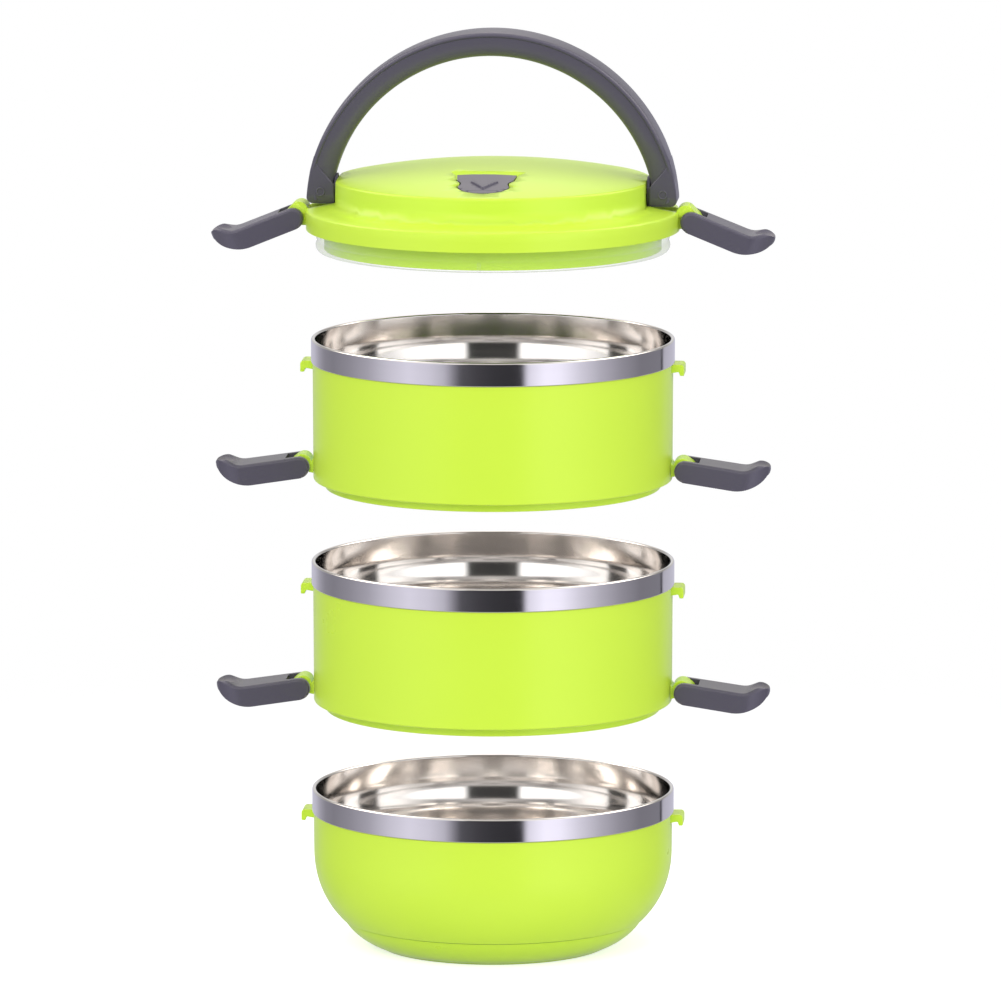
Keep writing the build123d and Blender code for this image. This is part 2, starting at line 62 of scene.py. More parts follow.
# The room as polished steel sees it, from behind on the left (0), over the camera (0.5), to behind on the
# right (1): low light cards and gaps, tall cards that stand over the horizon, and the soft box's slats.
CARDS = ((0.0, 0.7), (0.067, 0.62), (0.1, 0.42), (0.126, 0.3), (0.16, 0.26), (0.21, 0.33), (0.26, 0.46),
         (0.307, 0.72), (0.348, 0.88), (0.386, 0.78), (0.414, 0.6), (0.432, 0.26), (0.443, 0.1),
         (0.475, 0.06), (0.5, 0.045), (0.552, 0.03), (0.56, 0.9), (0.592, 1.2), (0.62, 1.15),
         (0.658, 0.82), (0.7, 0.55), (0.745, 0.36), (0.8, 0.23), (0.85, 0.24), (0.871, 0.25),
         (0.875, 0.03), (0.879, 0.03), (0.884, 0.55), (1.0, 0.7))
TALL_CARDS = ((0.0, 0.7), (0.2, 0.32), (0.3, 1.0), (0.36, 1.5), (0.446, 1.5), (0.456, 0.04), (0.544, 0.04),
              (0.554, 1.5), (0.64, 1.5), (0.7, 0.9), (0.8, 0.25), (1.0, 0.7))
SLATS = ((0.0, 1.2), (0.06, 0.4), (0.12, 0.3), (0.17, 2.6), (0.23, 2.6), (0.3, 0.95), (0.36, 0.55),
         (0.64, 0.5), (0.7, 0.9), (0.77, 2.6), (0.83, 2.6), (0.88, 0.3), (0.94, 0.35), (1.0, 1.2))
SOFT_BOX = ((0.0, (0.36, 0.34, 0.40)), (0.3, (0.5, 0.48, 0.46)), (0.45, (1.5, 1.42, 1.32)),
            (0.8, (1.5, 1.45, 1.36)), (1.0, (0.9, 0.9, 0.92)))
LAVENDER = (0.86, 0.85, 1.02)
FLOOR_SEEN = (0.5, 0.5, 0.48)
SOFT_FILL = (0.74, 0.75, 0.78)
WHITE = (1.0, 1.0, 1.0)

Corner = tuple[float, float, float]
Colour = tuple[float, float, float]


class Slot(Enum):
    """The record's material slots that the pieces take their finish from."""

    SHELL = "shell_green"
    INNER = "inner_green"
    GRIP = "grip_grey"
    LINER = "liner_steel"
    PIN = "pin_steel"
    SEAL = "seal_clear"


# ---------------------------------------------------------------- shapes


def rounded(corners: Sequence[Corner], steps: int = 5) -> list[Vector]:
    """Round the corners of a closed flat outline.

    Args:
        corners: (across, up, radius) for each corner; a radius of 0 keeps it sharp.
        steps: segments in each rounded corner.

    Returns:
        The outline's points in order, in millimetres.
    """
    points: list[Vector] = []
    count = len(corners)
    for index, (across, up, radius) in enumerate(corners):
        here = Vector((across, up))
        if radius <= 0.0:
            points.append(here)
            continue
        before = (Vector(corners[index - 1][:2]) - here).normalized()
        after = (Vector(corners[(index + 1) % count][:2]) - here).normalized()
        half = before.angle(after) / 2
        centre = here + (before + after).normalized() * (radius / math.sin(half))
        start = here + before * (radius / math.tan(half)) - centre
        end = here + after * (radius / math.tan(half)) - centre
        sweep = start.angle_signed(end)
        for step in range(steps + 1):
            turn = Matrix.Rotation(-sweep * step / steps, 2)
            points.append(centre + turn @ start)
    return points


def curve(start: Vector, lead: Vector, follow: Vector, end: Vector, steps: int = 12) -> list[Vector]:
    """Sample a smooth run between two points.

    Args:
        start: first point.
        lead: control point that the run leaves towards.
        follow: control point that the run arrives from.
        end: last point.
        steps: segments in the run.

    Returns:
        The points of the run, both ends included.
    """
    points = []
    for step in range(steps + 1):
        t = step / steps
        s = 1.0 - t
        points.append(start * s**3 + lead * 3 * s * s * t + follow * 3 * s * t * t + end * t**3)
    return points


def turned(outline: Sequence[Vector], height: float, steps: int = RING_STEPS) -> bmesh.types.BMesh:
    """Turn a closed half section about the Z axis.

    Args:
        outline: the section's points as (radius, height above the seat).
        height: level of the seat.
        steps: segments round the axis.

    Returns:
        The solid's mesh, in metres.
    """
    bm = bmesh.new()
    ring = [bm.verts.new((p.x * MM, 0.0, (p.y + height) * MM)) for p in outline]
    edges = [bm.edges.new((a, b)) for a, b in zip(ring, ring[1:] + ring[:1])
             if max(a.co.x, b.co.x) > WELD]
    bmesh.ops.spin(bm, geom=ring + edges, cent=(0, 0, 0), axis=(0, 0, 1), dvec=(0, 0, 0),
                   angle=math.tau, steps=steps, use_merge=True, use_duplicate=False)
    bmesh.ops.remove_doubles(bm, verts=bm.verts, dist=WELD)
    bmesh.ops.recalc_face_normals(bm, faces=bm.faces)
    return bm


def prism(outline: Sequence[Vector], placing: Matrix, half_width: float,
          ease: float = 0.0) -> bmesh.types.BMesh:
    """Raise a flat outline to both sides of its plane.

    Args:
        outline: the points as (x, y) in the outline's own plane.
        placing: takes that plane to the object, in millimetres.
        half_width: how far the solid stands to each side of the plane.
        ease: width of the bevel along the two outlines' edges, 0 for none.

    Returns:
        The solid's mesh, in metres.
    """
    bm = bmesh.new()
    loop = [bm.verts.new((p.x, p.y, -half_width)) for p in outline]
    face = bm.faces.new(loop)
    raised = bmesh.ops.extrude_face_region(bm, geom=[face])
    top = [item for item in raised["geom"] if isinstance(item, bmesh.types.BMVert)]
    bmesh.ops.translate(bm, verts=top, vec=(0, 0, 2 * half_width))
    bmesh.ops.recalc_face_normals(bm, faces=bm.faces)
    if ease > 0.0:
        rims = [edge for edge in bm.edges if abs(edge.verts[0].co.z - edge.verts[1].co.z) < WELD]
        bmesh.ops.bevel(bm, geom=rims, offset=ease, offset_type="OFFSET", segments=3, profile=0.5,
                        affect="EDGES", material=-1)
    bmesh.ops.transform(bm, matrix=Matrix.Scale(MM, 4) @ placing, verts=bm.verts)
    bmesh.ops.recalc_face_normals(bm, faces=bm.faces)
    return bm


def from_frame(node: str) -> bmesh.types.BMesh:
    """Copy a frame node's loose triangles and weld them into one surface."""
    bm = bmesh.new()
    bm.from_mesh(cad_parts[node].data)
    bmesh.ops.remove_doubles(bm, verts=bm.verts, dist=WELD)
    bmesh.ops.dissolve_degenerate(bm, edges=bm.edges, dist=WELD)
    return bm


def flattened(node: str) -> bmesh.types.BMesh:
    """Copy a frame node and melt the triangles of each flat side into one face."""
    bm = from_frame(node)
    bmesh.ops.dissolve_limit(bm, angle_limit=FLAT_ANGLE, verts=bm.verts, edges=bm.edges)
    return bm


def ease_edges(piece: bpy.types.Object, width: float) -> None:
    """Round a piece's sharp edges a little, as a moulding tool leaves them.

    Args:
        piece: the finished piece.
        width: the bevel's width in millimetres.
    """
    easing = piece.modifiers.new("Easing", "BEVEL")
    easing.width = width * MM
    easing.segments = 3
    easing.limit_method = "ANGLE"
    easing.angle_limit = SHARP_ANGLE
    easing.use_clamp_overlap = True
    easing.harden_normals = False
    piece.modifiers.move(len(piece.modifiers) - 1, 0)


def joined(parts: Sequence[bmesh.types.BMesh]) -> bmesh.types.BMesh:
    """Gather several meshes into the first one and free the others."""
    whole = parts[0]
    for part in parts[1:]:
        carrier = bpy.data.meshes.new("carrier")
        part.to_mesh(carrier)
        part.free()
        whole.from_mesh(carrier)
        bpy.data.meshes.remove(carrier)
    return whole


def upright(origin: Vector, side: int = 1) -> Matrix:
    """Place an outline in the XZ plane at a point, its x running outwards on one side."""
    turn = Matrix(((side, 0, 0, 0), (0, 0, -side, 0), (0, 1, 0, 0), (0, 0, 0, 1)))
    return Matrix.Translation(origin) @ turn


# ---------------------------------------------------------------- shader nodes


class Tree:
    """A thin hand on a node tree: adds nodes and links them by socket name."""

    def __init__(self, tree: bpy.types.NodeTree) -> None:
        """Take hold of a tree.

        Args:
            tree: the node tree to write in.
        """
        self.tree = tree

    def add(self, kind: str, inputs: dict | None = None, **settings: object) -> bpy.types.Node:
        """Add a node.

        Args:
            kind: the node's type name.
            inputs: socket name or number to a value, or to an output socket to link from.
            settings: properties set before the inputs.

        Returns:
            The new node.
        """
        node = self.tree.nodes.new(kind)
        for key, value in settings.items():
            setattr(node, key, value)
        for key, value in (inputs or {}).items():
            if isinstance(value, bpy.types.NodeSocket):
                self.tree.links.new(value, node.inputs[key])
            else:
                node.inputs[key].default_value = value
        return node

    def link(self, output: bpy.types.NodeSocket, socket: bpy.types.NodeSocket) -> None:
        """Link an output to an input."""
        self.tree.links.new(output, socket)

    def maths(self, operation: str, first: object, second: object = 0.0) -> bpy.types.NodeSocket:
        """Add a Math node and return its result."""
        return self.add("ShaderNodeMath", {0: first, 1: second}, operation=operation).outputs[0]

    def spread(self, value: object, low: object, high: object) -> bpy.types.NodeSocket:
        """Take a value from 0..1 to low..high."""
        node = self.add("ShaderNodeMapRange", {"Value": value, "To Min": low, "To Max": high})
        return node.outputs["Result"]

    def window(self, value: object, low: float, high: float) -> bpy.types.NodeSocket:
        """Take a value from low..high to 0..1."""
        node = self.add("ShaderNodeMapRange", {"Value": value, "From Min": low, "From Max": high})
        return node.outputs["Result"]

    def noise(self, place: object, scale: object, detail: float = 3.0) -> bpy.types.NodeSocket:
        """Add a noise texture and return its value."""
        node = self.add("ShaderNodeTexNoise", {"Vector": place, "Scale": scale, "Detail": detail})
        return node.outputs["Fac"]

    def ramp(self, value: object, stops: Sequence[tuple[float, Colour]]) -> bpy.types.NodeSocket:
        """Add a colour ramp with the given stops and return its colour."""
        node = self.add("ShaderNodeValToRGB", {"Fac": value})
        elements = node.color_ramp.elements
        while len(elements) < len(stops):
            elements.new(0.5)
        for element, (position, colour) in zip(elements, stops):
            element.position = position
            element.color = (*colour, 1.0)
        return node.outputs["Color"]

    def blend(self, share: object, first: object, second: object) -> bpy.types.NodeSocket:
        """Mix two colours and return the result."""
        node = self.add("ShaderNodeMix", {"Factor": share}, data_type="RGBA")
        for socket, value in ((node.inputs[6], first), (node.inputs[7], second)):
            if isinstance(value, bpy.types.NodeSocket):
                self.tree.links.new(value, socket)
            else:
                socket.default_value = (*value, 1.0)
        return node.outputs[2]


def effect(name: str, inputs: Sequence[tuple[str, str, float]],
           outputs: Sequence[tuple[str, str]]) -> tuple:
    """Start a shader node group with named sockets.

    Args:
        name: the group's name.
        inputs: (name, socket kind, default) for each input.
        outputs: (name, socket kind) for each output.

    Returns:
        The group, its Tree, its input node and its output node.
    """
    group = bpy.data.node_groups.new(name, "ShaderNodeTree")
    for label, kind, default in inputs:
        socket = group.interface.new_socket(name=label, in_out="INPUT", socket_type=kind)
        if kind == "NodeSocketFloat":
            socket.default_value = default
    for label, kind in outputs:
        group.interface.new_socket(name=label, in_out="OUTPUT", socket_type=kind)
    tree = Tree(group)
    return group, tree, tree.add("NodeGroupInput"), tree.add("NodeGroupOutput")


def mould_grain() -> bpy.types.NodeTree:
    """Fine spark-eroded grain of a moulding tool, with a slow waviness under it."""
    group, tree, given, out = effect(
        "MouldGrain",
        [("Vector", "NodeSocketVector", 0), ("Scale", "NodeSocketFloat", 900.0),
         ("Waviness", "NodeSocketFloat", 0.3)],
        [("Height", "NodeSocketFloat")])
    fine = tree.noise(given.outputs["Vector"], given.outputs["Scale"], 4.0)
    slow = tree.noise(given.outputs["Vector"], 18.0, 1.0)
    total = tree.maths("ADD", fine, tree.maths("MULTIPLY", slow, given.outputs["Waviness"]))
    tree.link(total, out.inputs["Height"])
    return group


def handling() -> bpy.types.NodeTree:
    """Faint smears and finger marks: a roughness that drifts between two values."""
    group, tree, given, out = effect(
        "Handling",
        [("Vector", "NodeSocketVector", 0), ("Scale", "NodeSocketFloat", 35.0),
         ("Low", "NodeSocketFloat", 0.2), ("High", "NodeSocketFloat", 0.3)],
        [("Roughness", "NodeSocketFloat")])
    broad = tree.noise(given.outputs["Vector"], given.outputs["Scale"], 5.0)
    marks = tree.maths("POWER", broad, 1.6)
    rough = tree.spread(marks, given.outputs["Low"], given.outputs["High"])
    tree.link(rough, out.inputs["Roughness"])
    return group


def colour_drift() -> bpy.types.NodeTree:
    """Slight streaks of pigment between two colours."""
    group, tree, given, out = effect(
        "ColourDrift",
        [("Vector", "NodeSocketVector", 0), ("Scale", "NodeSocketFloat", 9.0),
         ("Body", "NodeSocketColor", 0), ("Streak", "NodeSocketColor", 0)],
        [("Color", "NodeSocketColor")])
    drift = tree.noise(given.outputs["Vector"], given.outputs["Scale"], 2.0)
    mixed = tree.blend(drift, given.outputs["Body"], given.outputs["Streak"])
    tree.link(mixed, out.inputs["Color"])
    return group


def spun_lines() -> bpy.types.NodeTree:
    """Fine polishing lines that run round the axis of a spun or turned piece."""
    group, tree, given, out = effect(
        "SpunLines",
        [("Vector", "NodeSocketVector", 0), ("Scale", "NodeSocketFloat", 2500.0)],
        [("Height", "NodeSocketFloat"), ("Streaks", "NodeSocketFloat")])
    parts = tree.add("ShaderNodeSeparateXYZ", {0: given.outputs["Vector"]})
    flat = tree.add("ShaderNodeCombineXYZ", {"X": parts.outputs["X"], "Y": parts.outputs["Y"]})
    radius = tree.add("ShaderNodeVectorMath", {0: flat.outputs[0]}, operation="LENGTH").outputs["Value"]
    section = tree.add("ShaderNodeCombineXYZ", {"X": radius, "Y": parts.outputs["Z"]}).outputs[0]
    tree.link(tree.noise(section, given.outputs["Scale"], 2.0), out.inputs["Height"])
    tree.link(tree.noise(section, 160.0, 4.0), out.inputs["Streaks"])
    return group


EFFECTS = {"grain": mould_grain(), "handling": handling(), "drift": colour_drift(), "spun": spun_lines()}


def new_material(name: str) -> tuple[bpy.types.Material, Tree, bpy.types.Node, bpy.types.NodeSocket]:
    """Start a material and hand back its tree, shader and object coordinates."""
    material = bpy.data.materials.new(name)
    material.use_nodes = True
    tree = Tree(material.node_tree)
    shader = material.node_tree.nodes["Principled BSDF"]
    place = tree.add("ShaderNodeTexCoord").outputs["Object"]
    return material, tree, shader, place


def use_effect(tree: Tree, name: str, inputs: dict) -> bpy.types.Node:
    """Place one of the shared effects in a material with its own values."""
    return tree.add("ShaderNodeGroup", inputs, node_tree=EFFECTS[name])


def bump(tree: Tree, shader: bpy.types.Node, height: bpy.types.NodeSocket, distance: float,
         strength: float) -> None:
    """Feed a height to a shader's normal; the distance is in millimetres."""
    node = tree.add("ShaderNodeBump", {"Height": height, "Distance": distance * MM, "Strength": strength})
    tree.link(node.outputs["Normal"], shader.inputs["Normal"])


@dataclass(frozen=True)
class MouldedPlastic:
    """Injection-moulded plastic: body colour, gloss and the grain of the tool."""

    name: str
    body: Colour
    streak: Colour
    low: float
    high: float
    grain_scale: float = 900.0
    grain_height: float = 0.012
    specular: float = 0.5
    glow: float = 0.0

    def material(self) -> bpy.types.Material:
        """Build the material.

        Returns:
            The finished material.
        """
        material, tree, shader, place = new_material(self.name)
        drift = use_effect(tree, "drift", {"Vector": place, "Scale": 14.0, "Body": (*self.body, 1.0),
                                           "Streak": (*self.streak, 1.0)})
        marks = use_effect(tree, "handling", {"Vector": place, "Low": self.low, "High": self.high})
        grain = use_effect(tree, "grain", {"Vector": place, "Scale": self.grain_scale})
        tree.link(drift.outputs["Color"], shader.inputs["Base Color"])
        tree.link(marks.outputs["Roughness"], shader.inputs["Roughness"])
        shader.inputs["Specular IOR Level"].default_value = self.specular
        if self.glow > 0.0:
            shader.inputs["Subsurface Weight"].default_value = self.glow
            shader.inputs["Subsurface Radius"].default_value = (1.0, 1.0, 0.4)
            shader.inputs["Subsurface Scale"].default_value = 1.5 * MM
        bump(tree, shader, grain.outputs["Height"], self.grain_height, 0.35)
        return material


@dataclass(frozen=True)
class PolishedSteel:
    """Spun and polished stainless steel."""

    name: str
    body: Colour
    streak: Colour
    low: float
    high: float
    line_height: float = 0.004

    def material(self) -> bpy.types.Material:
        """Build the material.

        Returns:
            The finished material.
        """
        material, tree, shader, place = new_material(self.name)
        lines = use_effect(tree, "spun", {"Vector": place})
        marks = use_effect(tree, "handling", {"Vector": place, "Scale": 50.0, "Low": self.low,
                                              "High": self.high})
        streaked = tree.maths("MULTIPLY", lines.outputs["Streaks"], 0.08)
        colour = tree.blend(lines.outputs["Streaks"], self.body, self.streak)
        tree.link(colour, shader.inputs["Base Color"])
        rough = tree.maths("ADD", marks.outputs["Roughness"], streaked)
        tree.link(rough, shader.inputs["Roughness"])
        shader.inputs["Metallic"].default_value = 1.0
        bump(tree, shader, lines.outputs["Height"], self.line_height, 0.25)
        return material


@dataclass(frozen=True)
class ClearSilicone:
    """Clear silicone rubber: thin to look straight through, with a painted reflection where the surface
    turns away.
    """

    name: str
    body: Colour
    low: float
    high: float
    through: float = 0.03
    # Opacity of the pale body colour where the surface turns fully away: the strength of the painted
    # reflection.
    edge: float = 0.5

    def material(self) -> bpy.types.Material:
        """Build the material.

        Returns:
            The finished material.
        """
        material, tree, shader, place = new_material(self.name)
        marks = use_effect(tree, "handling", {"Vector": place, "Scale": 60.0, "Low": self.low,
                                              "High": self.high})
        grain = use_effect(tree, "grain", {"Vector": place, "Scale": 500.0, "Waviness": 1.0})
        shader.inputs["Base Color"].default_value = (*self.body, 1.0)
        tree.link(marks.outputs["Roughness"], shader.inputs["Roughness"])
        # The pale body colour grows opaque towards the turned-away edges, as a painted reflection over the
        # seal and the vent plug.
        facing = tree.add("ShaderNodeLayerWeight", {"Blend": 0.5}).outputs["Facing"]
        painted_edge_reflection = tree.maths("POWER", facing, 2.2)
        tree.link(tree.spread(painted_edge_reflection, self.through, self.edge), shader.inputs["Alpha"])
        shader.inputs["IOR"].default_value = 1.41
        bump(tree, shader, grain.outputs["Height"], 0.03, 0.3)
        return material


FINISHES = {
    Slot.SHELL: MouldedPlastic("OuterGreen", (0.59, 0.83, 0.05), (0.62, 0.85, 0.058), 0.26, 0.36,
                               glow=0.12),
    Slot.INNER: MouldedPlastic("InnerGreen", (0.55, 0.82, 0.042), (0.58, 0.84, 0.05), 0.18, 0.28,
                               glow=0.12),
    Slot.GRIP: MouldedPlastic("GripGrey", (0.081, 0.073, 0.104), (0.092, 0.084, 0.116), 0.3, 0.4,
                              grain_scale=1400.0, grain_height=0.016, specular=0.5),
    Slot.LINER: PolishedSteel("LinerSteel", (0.93, 0.90, 0.87), (0.86, 0.83, 0.81), 0.04, 0.09),
    Slot.PIN: PolishedSteel("PinSteel", (0.66, 0.65, 0.65), (0.58, 0.57, 0.57), 0.18, 0.3),
    Slot.SEAL: ClearSilicone("SealSilicone", (0.86, 0.90, 0.82), 0.14, 0.26),
}


# ---------------------------------------------------------------- pieces


class Assembly:
    """What every sub-assembly shares: finishing a mesh and making the piece from it."""

    dressed: dict[Slot, bpy.types.Material] = {}

    def dress(self, slot: Slot) -> bpy.types.Material:
        """Return the slot's material, made the first time it is asked for."""
        if slot not in self.dressed:
            self.dressed[slot] = FINISHES[slot].material()
        return self.dressed[slot]

    def add(self, name: str, bm: bmesh.types.BMesh, body: str, slot: Slot, *nodes: str) -> bpy.types.Object:
        """Make a finished piece from a mesh.

        Args:
            name: the piece's name.
            bm: its mesh, in metres; freed here.
            body: the frame's body it rides on.
            slot: the record's slot it is dressed in.
            nodes: the frame's nodes it stands for.

        Returns:
            The new object.
        """
        mesh = bpy.data.meshes.new(name)
        bm.to_mesh(mesh)
        bm.free()
        mesh.shade_smooth()
        mesh.set_sharp_from_angle(angle=SHARP_ANGLE)
        piece = bpy.data.objects.new(name, mesh)
        bpy.context.scene.collection.objects.link(piece)
        mesh.materials.append(self.dress(slot))
        weighting = piece.modifiers.new("Weighting", "WEIGHTED_NORMAL")
        weighting.keep_sharp = True
        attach(piece, body)
        if nodes:
            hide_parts(*nodes)
        piece.visible_glossy = slot not in (Slot.SHELL, Slot.INNER)
        LOG.info("%s: %d faces on %s", name, len(mesh.polygons), body)
        return piece


@dataclass
class Vessel(Assembly):
    """What the bowl and the tiers share: the steel liner and the lugs under its rim."""

    rim_r: float = 70.0
    mouth_r: float = 68.4
    hem_h: float = 9.1
    ledge_depth: float = 8.55
    taper_depth: float = 22.0
    steel_t: float = 0.6
    liner_r: float = 66.9
    shell_top_r: float = 69.4
    shell_t: float = 1.65
    lug_w: float = 12.0
    lug_reach: float = 74.0
    lug_t: float = 2.8
    lip_drop: float = 4.3

    def liner(self, rim: float, depth: float, corner: float) -> bmesh.types.BMesh:
        """Turn the liner: rolled band, seal ledge, wall and dished floor.

        Args:
            rim: level of the rim's top.
            depth: from the rim down to the floor.
            corner: radius between the wall and the floor.

        Returns:
            The liner's mesh.
        """
        outer = self.liner_r + self.steel_t
        under = depth + self.steel_t
        drawn_in = curve(Vector((self.liner_r, -self.taper_depth)), Vector((self.liner_r, -16.5)),
                         Vector((self.mouth_r, -14.0)), Vector((self.mouth_r, -self.ledge_depth)), 14)
        outline = rounded([
            (0, -depth, 0), (self.liner_r, -depth, corner), *((p.x, p.y, 0) for p in drawn_in),
            (self.mouth_r, 0, 0.75), (self.rim_r, 0, 0.75), (self.rim_r, -self.hem_h, 0.3),
            (self.mouth_r + 0.3, -self.hem_h, 0), (self.mouth_r + 0.3, -14.0, 0),
            (outer, -self.taper_depth - 1.0, 0), (outer, -under, corner + self.steel_t),
            (0, -under, 0)], steps=10)
        return turned(outline, rim)

    def lugs(self, rim: float) -> list[bmesh.types.BMesh]:
        """Make the two catches under the rim that the levers above hook under."""
        root = self.shell_top_r - 0.9
        reach = self.lug_reach
        outline = rounded([
            (root, 0, 0), (reach, 0, 1.3), (reach, -self.lip_drop, 0.35),
            (reach - 1.5, -self.lip_drop, 0.3), (reach - 2.0, -self.lug_t, 0.4),
            (root, -self.lug_t - 0.6, 0)])
        return [prism(outline, upright(Vector((0, 0, rim - self.hem_h)), side), self.lug_w / 2, ease=0.35)
                for side in (1, -1)]


@dataclass
class Bowl(Vessel):
    """The bottom vessel: a round-bottomed shell, its liner and the cap it stands on."""

    height: float = 61.5
    depth: float = 51.0
    corner: float = 26.0
    belly_h: float = 37.0
    joint_r: float = 58.8
    joint_h: float = 10.9

    def shell(self) -> bmesh.types.BMesh:
        """Turn the shell and set the lugs on it."""
        top = self.height - self.hem_h
        joint = self.joint_h
        side = curve(Vector((69.3, self.belly_h)), Vector((69.2, 27.0)), Vector((65.9, 18.0)),
                     Vector((self.joint_r, joint)), 24)
        inside = curve(Vector((48.0, 9.2)), Vector((58.0, 11.0)), Vector((67.3, 22.0)),
                       Vector((67.6, 36.0)), 16)
        outline = [Vector((68.8, top)), Vector((69.15, top)), Vector((69.4, top - 0.25)), *side,
                   Vector((self.joint_r - 0.5, joint)), Vector((55.2, joint)), Vector((55.2, 9.7)),
                   Vector((47.5, 7.6)),
                   Vector((0, 7.6)), Vector((0, 9.2)), *inside]
        return joined([turned(outline, 0.0), *self.lugs(self.height)])

    def base(self) -> bmesh.types.BMesh:
        """Turn the cap under the shell, with its flat foot ring."""
        outside = curve(Vector((57.9, 10.5)), Vector((56.0, 6.6)), Vector((50.5, 2.2)),
                        Vector((45.6, 0.7)), 14)
        inside = curve(Vector((44.5, 3.0)), Vector((48.5, 3.8)), Vector((53.0, 6.2)),
                       Vector((55.5, 9.2)), 8)
        foot = rounded([(45.4, 0.6, 0), (44.6, 0, 0.3), (41.8, 0, 0.3), (41.2, 1.4, 0.3), (0, 1.4, 0),
                        (0, 3.0, 0)])
        outline = [*outside, *foot, *inside, Vector((55.7, 10.6)), Vector((57.7, 10.6))]
        return turned(outline, 0.0)

    def build(self) -> None:
        """Make the bowl's three pieces."""
        self.add("BowlOuter", self.shell(), "bowl", Slot.SHELL, "bowl_shell")
        self.add("BowlLiner", self.liner(self.height, self.depth, self.corner), "bowl", Slot.LINER,
                 "bowl_liner")
        self.add("BowlBase", self.base(), "bowl", Slot.SHELL, "bowl_base")


@dataclass
class Tier(Vessel):
    """One straight tier with its two levers."""

    prefix: str = "lower"
    seat: float = LOWER_SEAT
    height: float = 54.7
    foot_r: float = 69.2
    ring_r: float = 64.8
    ring_h: float = 3.2
    pin_x: float = 74.8
    pin_h: float = 4.5
    depth: float = 47.6
    corner: float = 16.0
    base_t: float = 1.6
    turn_in: float = 3.0

    def shell(self) -> bmesh.types.BMesh:
        """Turn the shell and set the brackets and lugs on it."""
        top = self.height - self.hem_h
        outline = rounded([
            (self.ring_r - self.turn_in, 0, 0), (self.foot_r, 0, 0.7), (self.shell_top_r, top, 0.3),
            (self.shell_top_r - 0.6, top, 0), (self.shell_top_r - 0.6, top - 6.0, 0),
            (self.foot_r - self.shell_t, top - 16.0, 0), (self.foot_r - self.shell_t, self.base_t, 1.4),
            (self.ring_r - self.turn_in, self.base_t, 0)])
        knuckles = [bracket(side, self.pin_x, self.seat + self.pin_h, self.foot_r - 0.9, (-1.5, 1.1), 3.6)
                    for side in (1, -1)]
        return joined([turned(outline, self.seat), *knuckles, *self.lugs(self.seat + self.height)])

    def base(self) -> bmesh.types.BMesh:
        """Turn the base plate with its foot ring."""
        ring = self.ring_r
        outline = rounded([
            (0, 0, 0), (ring, 0, 0), (ring, -self.ring_h, 0.6), (ring - 2.2, -self.ring_h, 0.3),
            (ring - 2.4, -self.base_t, 0.3), (0, -self.base_t, 0)])
        return turned(outline, self.seat)

    def build(self) -> None:
        """Make the tier's pieces and its levers."""
        body = f"{self.prefix}_tier"
        name = self.prefix.title()
        self.add(f"{name}Outer", self.shell(), body, Slot.SHELL, f"{self.prefix}_shell")
        liner = self.liner(self.seat + self.height, self.depth, self.corner)
        self.add(f"{name}Liner", liner, body, Slot.LINER, f"{self.prefix}_liner")
        self.add(f"{name}Base", self.base(), body, Slot.SHELL, f"{self.prefix}_base")
        Levers(self.prefix, body).build()


def bracket(side: int, pin_x: float, pin_z: float, wall_x: float, crown: tuple[float, float],
            web_top: float) -> bmesh.types.BMesh:
    """Make the knuckle that carries a lever's pin.

    Args:
        side: 1 on the right, -1 on the left.
        pin_x: the pin's distance from the axis.
        pin_z: the pin's level.
        wall_x: where the knuckle meets the wall.
        crown: centre of its upper round, from the pin.
        web_top: top of the web, above the pin.

    Returns:
        The knuckle's mesh.
    """
    radius, width, underside = 3.5, 11.2, -2.8
    lean = Vector(crown)
    across = Vector((lean.y, -lean.x)).normalized()
    start = math.atan2(across.y, across.x)
    outline = [Vector((wall_x - pin_x, web_top)), Vector((wall_x - pin_x, underside))]
    lower = math.asin(underside / radius)
    for step in range(13):
        turn = lower - math.pi / 2 + (start - lower + math.pi / 2) * step / 12
        outline.append(Vector((math.cos(turn), math.sin(turn))) * radius)
    for step in range(13):
        turn = start + math.pi * 0.62 * step / 12
        outline.append(lean + Vector((math.cos(turn), math.sin(turn))) * radius)
    return prism(outline, upright(Vector((side * pin_x, 0, pin_z)), side), width / 2, ease=0.4)


@dataclass
class Levers(Assembly):
    """A level's two latch levers and the pins they turn on."""

    prefix: str
    holder: str
    edge_round: float = 0.45

    def build(self) -> None:
        """Make both levers and both pins."""
        for hand in ("left", "right"):
            name = f"{self.prefix.title()}{hand.title()}"
            lever = f"{self.prefix}_latch_{hand}"
            pin = f"{self.prefix}_latch_pin_{hand}"
            piece = self.add(f"{name}Lever", flattened(lever), f"{self.prefix}_{hand}_latch", Slot.GRIP,
                             lever)
            ease_edges(piece, self.edge_round)
            self.add(f"{name}LeverPin", from_frame(pin), self.holder, Slot.PIN, pin)


